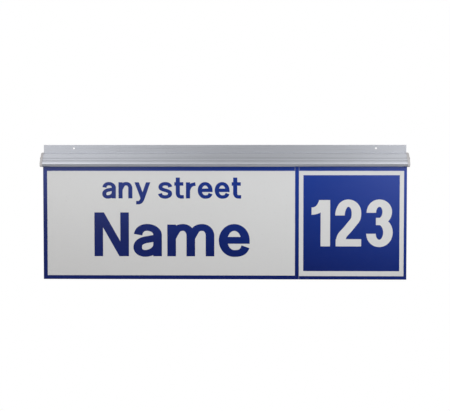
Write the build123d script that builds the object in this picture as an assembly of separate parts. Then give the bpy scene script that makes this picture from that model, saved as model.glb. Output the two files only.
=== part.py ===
"""Lit street name sign: two flat plates hung under an extruded aluminium hood that fixes flat to a wall.

Millimetres. +Z is up, +X runs along the sign and the front faces -Y. The origin is on the wall plane,
midway between the two wall screw holes.
"""

import math
import os
from copy import copy

from build123d import *

# Hood extrusion, seen from its end
PROFILE_LENGTH = 999.0
WALL = 2.2
FLANGE_TOP = 9.5
BACK_BOTTOM = -62.0
HOLE_SPACING = 833.0
HOLE_RADIUS = 2.75

# Curved front of the hood: one arc, which the end caps follow SKIRT outside the extrusion
HOOD_RADIUS = 123.6
HOOD_CENTRE_Y = 66.2
HOOD_CENTRE_Z = -103.9
SKIRT = 0.8
SHOULDER_Z = -13.5
TOP_EDGE_Z = -11.6
SKIN = 2.6
SHOULDER_RADIUS = 1.6
LIP_RADIUS = 7.0
LIP_CENTRE_Z = -43.3
LIP_WALL = 1.7
TAIL_LENGTH = 3.9

# Long grooves in the hood's face: upper edge, lower edge, depth
FACE_GROOVES = ((-16.7, -17.7, 0.4), (-24.1, -29.6, 0.8), (-32.3, -36.0, 1.3))
GROOVE_EDGE = 0.8

# Walls inside the hood
SHELF_TOP = -31.2
SHELF = 1.8
SLOT_ROOF = -41.1
SLOT_FRONT = -12.1
SLOT_LEG = 3.0
SLOT_LEG_BOTTOM = -50.0
REAR_LEG = 1.8
PORT_Z = -28.0
PORT_RADIUS = 3.3
PORT_BORE = 1.5
PORT_SLIT = 1.6
REAR_PORT_Y = -5.3
FRONT_PORT_Y = -24.6
HOOK = 1.2
HOOK_REACH = 1.4

# Plates and their films
PLATE_BACK = -8.6
PLATE_THICKNESS = 3.0
PLATE_WIDTH = 1000.0
PLATE_HEIGHT = 320.0
PLATE_JOINT_X = 205.0
PLATE_CORNER = 1.5
FILM = 0.12
BORDER_TOP = -62.0
NAME_BORDER = 11.1
NAME_BORDER_FOOT = 10.8
BORDER_SLIT = 0.5
BORDER_SETBACK = 0.5
NUMBER_BORDER = 7.9
NUMBER_BORDER_FOOT = 9.5
RING = 11.7
RING_FOOT = 13.7

# End caps, gaskets and their screws
CAP_THICKNESS = 3.0
CAP_BACK = -1.5
CAP_BOTTOM = -51.5
CAP_EDGE = 0.6
SKIRT_REACH = 3.5
SKIRT_GAP = 0.05
GASKET = 1.0
SCREW_RADIUS = 1.45
SCREW_LENGTH = 16.0
SCREW_SIDES = 8
SCREW_CLEARANCE = 0.35
HEAD_RADIUS = 3.3
HEAD_HEIGHT = 2.0

# Lamp boards, their leds and the cover under them
BOARD_WIDTH = 13.2
BOARD_THICKNESS = 1.6
BOARD_LENGTH = 478.0
BOARD_FRONT = -30.1
BOARD_GAP = 12.0
LED_PITCH = 19.0
LED_SIZE = (3.5, 2.8, 0.8)
COVER_THICKNESS = 1.6
COVER_TOP = -47.0
COVER_LENGTH = 998.0

# Electrical pieces in the closed chamber over the lamp boards
DRIVER_SIZE = (130.0, 10.8, 9.8)
DRIVER_X = -90.0
DRIVER_BACK = -9.2
DRIVER_CORNER = 1.5
TERMINAL_SIZE = (26.0, 10.0, 8.4)
TERMINAL_X = -190.0
TERMINAL_POLES = 3
TERMINAL_SCREW_RADIUS = 1.7
TERMINAL_GAP = 0.8
TERMINAL_ENTRY = 1.2
SCREW_SLOT = 0.6
SCREW_SLOT_DEPTH = 0.8
INLET_X = -232.0
INLET_Z = -20.2
INLET_RADIUS = 3.5
GROMMET_BORE = 2.3
GROMMET_FLANGE = 4.4
GROMMET_FLANGE_DEPTH = 1.4
LEAD_RADIUS = 0.9
LEAD_SIDES = 6
LEAD_HOLE_RADIUS = 2.6
LEAD_HOLE_Y = -19.9
LEAD_ROW = 4.8
LEAD_SPREAD = 1.2
LEAD_STAGGER = 2.0
LEAD_START = 9.0
LEAD_SAG = 2.5
LEAD_PAD = 6.5
LEAD_BENDS = (3.0, 2.4, 2.0, 4.0)

# Set screws that pinch the plates, and the pads that keep their lower edge off the wall
SET_SCREW_X = (-400.0, 110.0, 265.0, 440.0)
SET_SCREW_Z = -44.6
SET_SCREW_RADIUS = 2.0
SET_SCREW_SOCKET = 1.15
PAD_X = (-440.0, 140.0, 270.0, 440.0)
PAD_Z = -335.0
PAD_SIZE = 20.0

# Worked out from the sizes above
FACE_RADIUS = HOOD_RADIUS - SKIRT
LIP_CENTRE_Y = HOOD_CENTRE_Y - math.sqrt(
    (FACE_RADIUS - LIP_RADIUS) ** 2 - (LIP_CENTRE_Z - HOOD_CENTRE_Z) ** 2
)
LIP_ANGLE = 180 - math.degrees(math.asin((LIP_CENTRE_Z - HOOD_CENTRE_Z) / (FACE_RADIUS - LIP_RADIUS)))
LIP_BOTTOM = LIP_CENTRE_Z - LIP_RADIUS
LEG_FRONT = SLOT_FRONT - SLOT_LEG
SHELF_BOTTOM = SHELF_TOP - SHELF
BOARD_BACK = BOARD_FRONT + BOARD_WIDTH
BOARD_BOTTOM = SHELF_BOTTOM - BOARD_THICKNESS
COVER_BOTTOM = COVER_TOP - COVER_THICKNESS
PLATE_FACE = PLATE_BACK - PLATE_THICKNESS
PLATE_BOTTOM = SLOT_ROOF - PLATE_HEIGHT
PROFILE_END = PROFILE_LENGTH / 2
CAP_INSIDE = PROFILE_END + GASKET
CAP_OUTSIDE = CAP_INSIDE + CAP_THICKNESS
CAP_CORNER = LIP_RADIUS + SKIRT
PORTS = ((REAR_PORT_Y, PORT_Z), (FRONT_PORT_Y, PORT_Z))
SLACK = 0.2


def on_face(z, depth):
    """Point (y, z) on the curved face at height z, then depth inwards along the face's radius."""
    angle = math.asin((z - HOOD_CENTRE_Z) / FACE_RADIUS)
    radius = FACE_RADIUS - depth
    return (HOOD_CENTRE_Y - radius * math.cos(angle), HOOD_CENTRE_Z + radius * math.sin(angle))


def block(y_back, y_front, z_low, z_high):
    """Rectangle in the end view."""
    centre = ((y_back + y_front) / 2, (z_low + z_high) / 2)
    return Pos(*centre) * Rectangle(abs(y_back - y_front), abs(z_high - z_low))


def arc_wall(start, middle, end, inner_start, inner_middle, inner_end):
    """Area between two arcs, closed by straight ends."""
    edges = [
        ThreePointArc(start, middle, end),
        Line(end, inner_end),
        ThreePointArc(inner_end, inner_middle, inner_start),
        Line(inner_start, start),
    ]
    return make_face(edges)


def face_wall(z_top, z_bottom, depth):
    """Stretch of the curved skin from the face down to depth."""
    heights = (z_top, (z_top + z_bottom) / 2, z_bottom)
    outer = [on_face(z, 0) for z in heights]
    inner = [on_face(z, depth) for z in heights]
    return arc_wall(*outer, *inner)


def lip_curl():
    """Rounded lower edge of the hood, with a flat tail that carries the lamp cover."""
    angles = [math.radians(a) for a in (LIP_ANGLE, (LIP_ANGLE + 270) / 2, 270)]
    rings = []
    for radius in (LIP_RADIUS, LIP_RADIUS - LIP_WALL):
        rings += [
            (LIP_CENTRE_Y + radius * math.cos(a), LIP_CENTRE_Z + radius * math.sin(a)) for a in angles
        ]
    tail_end = LIP_CENTRE_Y + TAIL_LENGTH
    tail = block(LIP_CENTRE_Y, tail_end, LIP_BOTTOM, LIP_BOTTOM + LIP_WALL)
    tip = Pos(tail_end, LIP_BOTTOM + LIP_WALL / 2) * Circle(LIP_WALL / 2)
    return arc_wall(*rings) + tail + tip


def face_groove(z_top, z_bottom, depth):
    """Round cutter that leaves a groove of that depth between two heights of the face."""
    width = math.dist(on_face(z_top, 0), on_face(z_bottom, 0))
    radius = (width**2 / 4 + depth**2) / (2 * depth)
    return Pos(*on_face((z_top + z_bottom) / 2, depth - radius)) * Circle(radius)


def screw_port(y, slit_y, slit_z):
    """Split ring that an end cap screw bites into, open towards (slit_y, slit_z)."""
    centre = Pos(y, PORT_Z)
    reach = PORT_RADIUS + SLACK
    slit = Pos(slit_y * reach / 2, slit_z * reach / 2) * Rectangle(
        max(abs(slit_y) * reach, PORT_SLIT), max(abs(slit_z) * reach, PORT_SLIT)
    )
    return centre * Circle(PORT_RADIUS), centre * (Circle(PORT_BORE) + slit)


def top_edge_z(y):
    """Height of the hood's flat top, which falls a little towards the front."""
    shoulder_y = on_face(SHOULDER_Z, -SKIRT)[0]
    slope = (SHOULDER_Z - TOP_EDGE_Z) / (shoulder_y - CAP_BACK)
    return TOP_EDGE_Z + slope * (y - CAP_BACK)


def hood_section():
    """End view of the extrusion: flange, hood, closed wiring chamber, plate slot and screw ports."""
    shoulder = on_face(SHOULDER_Z - SKIRT, 0)
    top = Polygon(
        (0, top_edge_z(0) - SKIRT),
        (shoulder[0], top_edge_z(shoulder[0]) - SKIRT),
        on_face(shoulder[1], SKIN),
        (0, top_edge_z(0) - SKIRT - WALL),
        align=None,
    )
    section = block(-WALL, 0, BACK_BOTTOM, FLANGE_TOP) + top
    section += face_wall(shoulder[1], LIP_CENTRE_Z + LIP_RADIUS * math.sin(math.radians(LIP_ANGLE)), SKIN)
    section += lip_curl()
    shelf_front = on_face((SHELF_TOP + SHELF_BOTTOM) / 2, SKIN)[0] - SKIN / 4
    section += block(0, shelf_front, SHELF_BOTTOM, SHELF_TOP)
    section += block(SLOT_FRONT, LEG_FRONT, SLOT_LEG_BOTTOM, SHELF_BOTTOM)
    section += block(0, SLOT_FRONT, SLOT_ROOF, SLOT_ROOF + WALL)
    section += block(PLATE_BACK, PLATE_BACK + REAR_LEG, BACK_BOTTOM, SLOT_ROOF)
    section += block(PLATE_BACK, 0, BACK_BOTTOM, BACK_BOTTOM + REAR_LEG)
    section += board_hooks() + cover_groove()
    rear_ring, rear_bore = screw_port(REAR_PORT_Y, 0, 1)
    front_ring, front_bore = screw_port(FRONT_PORT_Y, 1, 0)
    section += rear_ring + front_ring
    section -= rear_bore + front_bore
    for groove in FACE_GROOVES:
        section -= face_groove(*groove)
    for z in (FACE_GROOVES[1][1], *FACE_GROOVES[2][:2]):
        section = fillet(section.vertices().sort_by_distance((*on_face(z, 0), 0))[0], GROOVE_EDGE)
    for corner in ((0, FLANGE_TOP), (-WALL, FLANGE_TOP)):
        section = fillet(section.vertices().sort_by_distance((*corner, 0))[0], WALL / 4)
    return section


def board_hooks():
    """Two hooks under the shelf that a lamp board slides into from the end."""
    hook_top = BOARD_BOTTOM - SLACK
    hook_bottom = hook_top - HOOK
    front_toe = block(on_face(hook_top, SKIN)[0] - HOOK / 2, BOARD_FRONT + HOOK_REACH, hook_bottom, hook_top)
    leg_front = BOARD_BACK + SLACK
    rear_leg = block(leg_front, leg_front + HOOK, hook_bottom, SHELF_BOTTOM)
    rear_toe = block(leg_front, leg_front - HOOK_REACH, hook_bottom, hook_top)
    return front_toe + rear_leg + rear_toe


def cover_groove():
    """Toe and rib on the slot's front leg that hold the rear edge of the lamp cover."""
    reach = LEG_FRONT - HOOK_REACH
    toe = block(LEG_FRONT, reach, SLOT_LEG_BOTTOM, COVER_BOTTOM)
    rib = block(LEG_FRONT, reach, COVER_TOP + SLACK, COVER_TOP + SLACK + HOOK)
    return toe + rib


def along_x(section, x_start, x_end):
    """Extrude an end view from x_start to x_end."""
    return Pos(x_start, 0, 0) * extrude(Plane.YZ * section, amount=x_end - x_start)


def box(x_low, x_high, y_front, y_back, z_low, z_high):
    """Solid box between two corners."""
    size = (x_high - x_low, y_back - y_front, z_high - z_low)
    centre = ((x_low + x_high) / 2, (y_front + y_back) / 2, (z_low + z_high) / 2)
    return Pos(*centre) * Box(*size)


def rod_y(x, z, radius, y_front, y_back):
    """Round rod along Y."""
    return Pos(x, (y_front + y_back) / 2, z) * Rot(90, 0, 0) * Cylinder(radius, y_back - y_front)


def rod_x(y, z, radius, x_low, x_high):
    """Round rod along X."""
    return Pos((x_low + x_high) / 2, y, z) * Rot(0, 90, 0) * Cylinder(radius, x_high - x_low)


def rod_z(x, y, radius, z_low, z_high):
    """Round rod along Z."""
    return Pos(x, y, (z_low + z_high) / 2) * Cylinder(radius, z_high - z_low)


def mirrored(solid):
    """The same piece for the other end of the sign."""
    return mirror(solid, about=Plane.YZ)


def hood_profile():
    """Extruded hood with its wall screw holes, cable hole, lead hole and set screw holes."""
    profile = along_x(hood_section(), -PROFILE_END, PROFILE_END)
    for x in (-HOLE_SPACING / 2, HOLE_SPACING / 2):
        profile -= rod_y(x, 0, HOLE_RADIUS, -WALL - 1, 1)
    profile -= rod_y(INLET_X, INLET_Z, INLET_RADIUS, -WALL - 1, 1)
    profile -= rod_z(0, LEAD_HOLE_Y, LEAD_HOLE_RADIUS, SHELF_BOTTOM, SHELF_TOP)
    for x in SET_SCREW_X:
        profile -= rod_y(x, SET_SCREW_Z, SET_SCREW_RADIUS, LEG_FRONT - 1, SLOT_FRONT + 1)
    return profile


def cap_outline(inset):
    """End view of a cap, moved inwards by inset on its top, front and foot."""
    shoulder = on_face(SHOULDER_Z - inset, inset - SKIRT)
    bottom = CAP_BOTTOM + inset
    foot = on_face(bottom, inset - SKIRT)
    middle = on_face((SHOULDER_Z + CAP_BOTTOM) / 2, inset - SKIRT)
    back_top = (CAP_BACK, TOP_EDGE_Z - inset)
    back_foot = (CAP_BACK, bottom)
    edges = [
        Line(back_top, shoulder),
        ThreePointArc(shoulder, middle, foot),
        Line(foot, back_foot),
        Line(back_foot, back_top),
    ]
    outline = make_face(edges)
    outline = fillet(outline.vertices().sort_by_distance((*foot, 0))[0], CAP_CORNER - inset)
    return fillet(outline.vertices().sort_by_distance((*shoulder, 0))[0], SHOULDER_RADIUS)


def end_cap():
    """Right end cap: a plate over the hood's end with a thin skirt round its top, front and lip."""
    plate = along_x(cap_outline(0), CAP_INSIDE, CAP_OUTSIDE)
    skirt = cap_outline(0) - cap_outline(SKIRT - SKIRT_GAP)
    skirt -= block(0, -WALL - SLACK, CAP_BOTTOM, TOP_EDGE_Z)
    skirt -= block(0, LIP_CENTRE_Y + TAIL_LENGTH, CAP_BOTTOM, SLOT_ROOF)
    cap = plate + along_x(skirt, CAP_INSIDE - SKIRT_REACH, CAP_INSIDE)
    cap = chamfer(cap.edges().group_by(Axis.X)[-1], CAP_EDGE)
    for y, z in PORTS:
        cap -= rod_x(y, z, SCREW_RADIUS + SCREW_CLEARANCE, CAP_INSIDE - 1, CAP_OUTSIDE + 1)
    return cap


def gasket():
    """Right gasket: thin rubber sheet between the extrusion's end and the cap."""
    sheet = cap_outline(SKIRT)
    sheet -= block(0, LEG_FRONT, CAP_BOTTOM, SLOT_ROOF + WALL)
    for y, z in PORTS:
        sheet -= Pos(y, z) * Circle(SCREW_RADIUS + SCREW_CLEARANCE)
    return along_x(sheet, PROFILE_END, CAP_INSIDE)


def cap_screw(y, z):
    """Pan head screw through the right cap into a port of the extrusion, its threaded shank eight-sided."""
    head = rod_x(y, z, HEAD_RADIUS, CAP_OUTSIDE, CAP_OUTSIDE + HEAD_HEIGHT)
    head = chamfer(head.edges().group_by(Axis.X)[-1], HEAD_HEIGHT / 2)
    shank = Pos(y, z) * RegularPolygon(SCREW_RADIUS, SCREW_SIDES)
    return head + along_x(shank, CAP_OUTSIDE - SCREW_LENGTH, CAP_OUTSIDE)


def sign_plate(x_low, x_high, free_edge_x):
    """Flat sheet plate in the slot, with rounded lower corners."""
    plate = box(x_low, x_high, PLATE_FACE, PLATE_BACK, PLATE_BOTTOM, SLOT_ROOF)
    corners = plate.edges().filter_by(Axis.Y).group_by(Axis.Z)[0]
    return fillet(corners.sort_by_distance((free_edge_x, PLATE_FACE, PLATE_BOTTOM))[0], PLATE_CORNER)


def film(x_low, x_high, z_low, z_high, layer):
    """Rectangle of self-adhesive film; layer 0 lies on the plate and layer 1 on the first film."""
    front = PLATE_FACE - FILM * (layer + 1)
    return box(x_low, x_high, front, front + FILM, z_low, z_high)


def name_blue_border():
    """Blue frame round the name field, slit at its upper right where two strips meet."""
    left = -PLATE_WIDTH / 2
    field_right = PLATE_JOINT_X - NAME_BORDER
    frame = film(left, PLATE_JOINT_X - BORDER_SETBACK, PLATE_BOTTOM, SLOT_ROOF, 1)
    frame -= film(left + NAME_BORDER, field_right, PLATE_BOTTOM + NAME_BORDER_FOOT, BORDER_TOP, 1)
    return frame - film(field_right - BORDER_SLIT, field_right, BORDER_TOP, SLOT_ROOF, 1)


def number_blue_border():
    """Blue edge above, right of and below the white ring of the number plate."""
    edge = film(PLATE_JOINT_X, PLATE_WIDTH / 2, PLATE_BOTTOM, SLOT_ROOF, 1)
    ring_right = PLATE_WIDTH / 2 - NUMBER_BORDER
    return edge - film(PLATE_JOINT_X, ring_right, PLATE_BOTTOM + NUMBER_BORDER_FOOT, BORDER_TOP, 1)


def number_blue_field():
    """Blue square inside the white ring of the number plate."""
    right = PLATE_WIDTH / 2 - NUMBER_BORDER - RING
    foot = PLATE_BOTTOM + NUMBER_BORDER_FOOT + RING_FOOT
    return film(PLATE_JOINT_X + RING, right, foot, BORDER_TOP - RING, 1)


def led_board():
    """Right lamp board, under the shelf and between its hooks."""
    start = BOARD_GAP
    return box(start, start + BOARD_LENGTH, BOARD_FRONT, BOARD_BACK, BOARD_BOTTOM, SHELF_BOTTOM)


def leds():
    """Row of leds under the right lamp board."""
    length, width, height = LED_SIZE
    package = Pos(0, (BOARD_FRONT + BOARD_BACK) / 2, BOARD_BOTTOM - height / 2) * Box(length, width, height)
    count = int(BOARD_LENGTH // LED_PITCH)
    first = BOARD_GAP + (BOARD_LENGTH - (count - 1) * LED_PITCH) / 2
    return Compound([Pos(first + i * LED_PITCH, 0, 0) * copy(package) for i in range(count)])


def lamp_cover():
    """Clear strip that closes the hood's mouth."""
    strip = box(
        -COVER_LENGTH / 2, COVER_LENGTH / 2, LIP_CENTRE_Y, LEG_FRONT, COVER_BOTTOM, COVER_TOP
    )
    front_edges = strip.edges().filter_by(Axis.X).group_by(Axis.Y)[0]
    return chamfer(front_edges.sort_by(Axis.Z)[-1], COVER_THICKNESS / 2)


def led_driver():
    """Slim converter on the shelf, with a raised rim and a lead boss at each end."""
    length, width, height = DRIVER_SIZE
    front = DRIVER_BACK - width
    body = box(
        DRIVER_X - length / 2, DRIVER_X + length / 2, front, DRIVER_BACK, SHELF_TOP, SHELF_TOP + height
    )
    body = fillet(body.edges().filter_by(Axis.Z), DRIVER_CORNER)
    well = box(
        DRIVER_X - length / 2 + HOOK,
        DRIVER_X + length / 2 - HOOK,
        front + HOOK,
        DRIVER_BACK - HOOK,
        SHELF_TOP + height - HOOK / 2,
        SHELF_TOP + height,
    )
    return body - well


def lead_row():
    """Y places of the two leads that enter each end of the driver."""
    middle = DRIVER_BACK - DRIVER_SIZE[1] / 2
    return (middle - LEAD_ROW / 2, middle + LEAD_ROW / 2)


def terminal_places():
    """X places of the terminal block's poles."""
    pitch = TERMINAL_SIZE[0] / TERMINAL_POLES
    return [TERMINAL_X + (i - (TERMINAL_POLES - 1) / 2) * pitch for i in range(TERMINAL_POLES)]


def terminal_block():
    """Three-pole block with a screw well and a square wire passage for each pole."""
    length, width, height = TERMINAL_SIZE
    front = DRIVER_BACK - width
    low = SHELF_TOP
    body = box(TERMINAL_X - length / 2, TERMINAL_X + length / 2, front, DRIVER_BACK, low, low + height)
    pitch = length / TERMINAL_POLES
    for x in terminal_places()[1:]:
        gap = x - pitch / 2 - TERMINAL_GAP / 2
        body -= box(gap, gap + TERMINAL_GAP, front, DRIVER_BACK, low + height / 2, low + height)
    entry = (low + TERMINAL_ENTRY, low + height / 2 - TERMINAL_ENTRY)
    for x in terminal_places():
        body -= rod_z(x, DRIVER_BACK - width / 2, TERMINAL_SCREW_RADIUS, low + height / 2, low + height)
        body -= box(x - LEAD_RADIUS, x + LEAD_RADIUS, front, DRIVER_BACK, *entry)
    return body


def terminal_screws():
    """One slotted clamp screw in each well of the terminal block, eight-sided as the cap screws' shanks."""
    width, height = TERMINAL_SIZE[1:]
    floor = SHELF_TOP + height / 2
    top = floor + height / 3
    middle = DRIVER_BACK - width / 2
    slot_front = middle - SCREW_SLOT / 2
    slot_ends = (-HEAD_RADIUS, HEAD_RADIUS, slot_front, slot_front + SCREW_SLOT)
    head = Pos(0, middle) * RegularPolygon(TERMINAL_SCREW_RADIUS, SCREW_SIDES)
    screw = Pos(0, 0, floor) * extrude(head, amount=top - floor)
    screw -= box(*slot_ends, top - SCREW_SLOT_DEPTH, top)
    return Compound([Pos(x, 0, 0) * copy(screw) for x in terminal_places()])


def cable_grommet():
    """Rubber bush in the back wall's cable hole, flush with the wall side."""
    flange_front = -WALL - GROMMET_FLANGE_DEPTH
    bush = rod_y(INLET_X, INLET_Z, INLET_RADIUS, -WALL, 0)
    bush += rod_y(INLET_X, INLET_Z, GROMMET_FLANGE, flange_front, -WALL)
    return bush - rod_y(INLET_X, INLET_Z, GROMMET_BORE, flange_front, 0)


def tube(points, radii):
    """Lead of straight runs joined by tangent arcs, six-sided to keep its faces few."""
    path = FilletPolyline(*points, radius=list(radii))
    start = path @ 0
    section = Plane(origin=start, z_dir=path % 0) * RegularPolygon(LEAD_RADIUS, LEAD_SIDES)
    return sweep(section, path=path)


def supply_leads():
    """Two short leads from the terminal block's end to the driver."""
    block_end = TERMINAL_X + TERMINAL_SIZE[0] / 2
    driver_end = DRIVER_X - DRIVER_SIZE[0] / 2
    height = SHELF_TOP + TERMINAL_SIZE[2] / 4
    section = Plane.YZ * RegularPolygon(LEAD_RADIUS, LEAD_SIDES)
    lead = extrude(section, amount=driver_end - block_end)
    return Compound([Pos(block_end, y, height) * copy(lead) for y in lead_row()])


def board_lead(side):
    """Lead from the driver, down through the shelf and out to one lamp board; side is -1 or 1."""
    driver_end = DRIVER_X + DRIVER_SIZE[0] / 2
    start_y = max(lead_row()) if side > 0 else min(lead_row())
    height = SHELF_TOP + DRIVER_SIZE[2] / 2 + side * LEAD_STAGGER
    drop_x = side * LEAD_SPREAD
    under = BOARD_BOTTOM - LEAD_RADIUS
    points = (
        (driver_end, start_y, height),
        (driver_end + LEAD_START, start_y, height),
        (drop_x, LEAD_HOLE_Y, height),
        (drop_x, LEAD_HOLE_Y, under - LEAD_SAG),
        (side * BOARD_GAP, LEAD_HOLE_Y, under),
        (side * (BOARD_GAP + LEAD_PAD), LEAD_HOLE_Y, under),
    )
    return tube(points, LEAD_BENDS)


def set_screw(x):
    """Headless screw through the slot's front leg, eight-sided, with its tip on the plate's film."""
    tip = PLATE_FACE - 2 * FILM
    start = Plane(origin=(x, LEG_FRONT, SET_SCREW_Z), z_dir=(0, 1, 0))
    body = extrude(start * RegularPolygon(SET_SCREW_RADIUS, SCREW_SIDES), amount=tip - LEG_FRONT)
    return body - extrude(start * RegularPolygon(SET_SCREW_SOCKET, 6), amount=SLOT_LEG / 2)


def wall_pad(x):
    """Square rubber pad stuck to a plate's back, as deep as the plate stands off the wall."""
    half = PAD_SIZE / 2
    return box(x - half, x + half, PLATE_BACK, 0, PAD_Z - half, PAD_Z + half)


def sign():
    """Every piece of the sign, by name."""
    plate_left, plate_right = -PLATE_WIDTH / 2, PLATE_WIDTH / 2
    right_screws = Compound([cap_screw(y, z) for y, z in PORTS])
    pieces = {
        "hood_profile": hood_profile(),
        "end_cap_right": end_cap(),
        "end_cap_left": mirrored(end_cap()),
        "gasket_right": gasket(),
        "gasket_left": mirrored(gasket()),
        "cap_screws_right": right_screws,
        "cap_screws_left": mirrored(right_screws),
        "name_plate": sign_plate(plate_left, PLATE_JOINT_X, plate_left),
        "number_plate": sign_plate(PLATE_JOINT_X, plate_right, plate_right),
        "name_white_film": film(plate_left, PLATE_JOINT_X, PLATE_BOTTOM, SLOT_ROOF, 0),
        "name_blue_border": name_blue_border(),
        "number_white_film": film(PLATE_JOINT_X, plate_right, PLATE_BOTTOM, SLOT_ROOF, 0),
        "number_blue_border": number_blue_border(),
        "number_blue_field": number_blue_field(),
        "led_board_right": led_board(),
        "led_board_left": mirrored(led_board()),
        "leds_right": leds(),
        "leds_left": mirrored(leds()),
        "lamp_cover": lamp_cover(),
        "led_driver": led_driver(),
        "terminal_block": terminal_block(),
        "terminal_screws": terminal_screws(),
        "cable_grommet": cable_grommet(),
        "supply_leads": supply_leads(),
        "board_lead_right": board_lead(1),
        "board_lead_left": board_lead(-1),
        "plate_set_screws": Compound([set_screw(x) for x in SET_SCREW_X]),
        "wall_pads": Compound([wall_pad(x) for x in PAD_X]),
    }
    return pieces


os.makedirs("parts", exist_ok=True)
for name, solid in sign().items():
    export_step(solid, f"parts/{name}.step")
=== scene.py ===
import math

import bmesh
import bpy
from bpy.props import FloatProperty, FloatVectorProperty, PointerProperty
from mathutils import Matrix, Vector
from mathutils.geometry import delaunay_2d_cdt, interpolate_bezier, intersect_point_tri_2d


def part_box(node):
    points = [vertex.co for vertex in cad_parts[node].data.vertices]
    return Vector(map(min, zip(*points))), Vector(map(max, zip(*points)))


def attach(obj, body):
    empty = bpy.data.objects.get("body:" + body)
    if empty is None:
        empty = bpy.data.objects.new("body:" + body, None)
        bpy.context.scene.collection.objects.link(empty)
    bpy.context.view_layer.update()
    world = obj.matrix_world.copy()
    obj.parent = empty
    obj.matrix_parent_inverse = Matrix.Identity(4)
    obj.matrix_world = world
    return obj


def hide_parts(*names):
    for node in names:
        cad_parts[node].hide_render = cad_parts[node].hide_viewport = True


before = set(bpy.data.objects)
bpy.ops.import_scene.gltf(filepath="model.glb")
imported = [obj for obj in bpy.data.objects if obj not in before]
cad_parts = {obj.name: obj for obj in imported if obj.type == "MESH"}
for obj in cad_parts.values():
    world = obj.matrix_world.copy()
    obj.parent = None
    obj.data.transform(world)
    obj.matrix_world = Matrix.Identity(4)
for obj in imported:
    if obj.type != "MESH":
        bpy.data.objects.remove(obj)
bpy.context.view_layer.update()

bl_info = {
    "name": "Lit street name sign",
    "version": (1, 0, 0),
    "blender": (4, 5, 0),
    "location": "3D View > Sidebar > Sign",
    "description": "Finishes, lettering, lamps and small fixings of a lit street name sign",
    "category": "Add Mesh",
}

MM = 0.001
BODY = "root"
SIDES = {"left": -1, "right": 1}

# Angle in degrees under which turned pieces, and small blocks, are shaded smooth
TURNED_SMOOTH = 35
BLOCK_SMOOTH = 40

# Finishes that have no setting in the sidebar, as linear light
BLACK_RUBBER = (0.02, 0.02, 0.021, 1.0)
ZINC = (0.3, 0.295, 0.29, 1.0)
MILL_ALUMINIUM = (0.58, 0.59, 0.6, 1.0)
BOARD_WHITE = (0.78, 0.78, 0.76, 1.0)
LED_WHITE = (0.8, 0.79, 0.74, 1.0)
PHOSPHOR_YELLOW = (0.78, 0.62, 0.08, 1.0)
CHIP_BLACK = (0.03, 0.03, 0.032, 1.0)
SOLDER = (0.5, 0.5, 0.49, 1.0)
CLEAR = (0.95, 0.96, 0.96, 1.0)
DRIVER_GREY = (0.62, 0.62, 0.6, 1.0)
TERMINAL_IVORY = (0.72, 0.71, 0.67, 1.0)
BRASS = (0.62, 0.45, 0.2, 1.0)
LEAD_GREY = (0.55, 0.54, 0.52, 1.0)
FILM_DUST = (0.36, 0.35, 0.33, 1.0)
PALE_FLOOR = (0.8, 0.8, 0.8, 1.0)
PALER_FLOOR = (0.84, 0.84, 0.84, 1.0)
WHITE_LIGHT = (1.0, 1.0, 1.0, 1.0)

# Heights of the hood's groove floors, darkened as painted shade, and of the lands under them, lightened as
# painted highlight
GROOVE_SHADE_BANDS = ((-29.6 * MM, -24.1 * MM), (-36.0 * MM, -32.3 * MM))
LAND_HIGHLIGHT_BANDS = ((-31.9 * MM, -29.9 * MM), (-41.0 * MM, -36.3 * MM))
BAND_EDGE = 0.2 * MM

# Thread: steps in a turn, how far in its foot starts as a share of the root's radius, and half the width
# of its foot and of its crest as shares of the pitch
THREAD_STEPS = 24
THREAD_SINK = 0.9
FOOT_HALF = 0.46
CREST_HALF = 0.06

# Thickness of the lettering's film
FILM = 0.12 * MM

# Sign lettering: one em is 1000 units, the baseline is 0
X_HEIGHT = 519.0
CAP_HEIGHT = 716.0
THICK = 140.0
THIN = 112.0
HALF = THICK / 2
OVERSHOOT = 9.0
ARCH = X_HEIGHT + OVERSHOOT - THIN / 2
BOWL_FOOT = THIN / 2 - OVERSHOOT
TOP_CURVE = CAP_HEIGHT + OVERSHOOT - THIN / 2
E_BAR = 262.0
LETTER_GAP = 72.0
WORD_GAP = 270.0
LEAST_AREA = 0.5
WELD = 0.1

# Strokes: a quarter circle's handle for a radius of 1, the steps of a curve, and the angles in radians
# under which a stroke counts as straight and faces as one flat
CURVE_REACH = 0.5523
CURVE_STEPS = 20
STRAIGHT = 0.02
FLAT = 0.001

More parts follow.
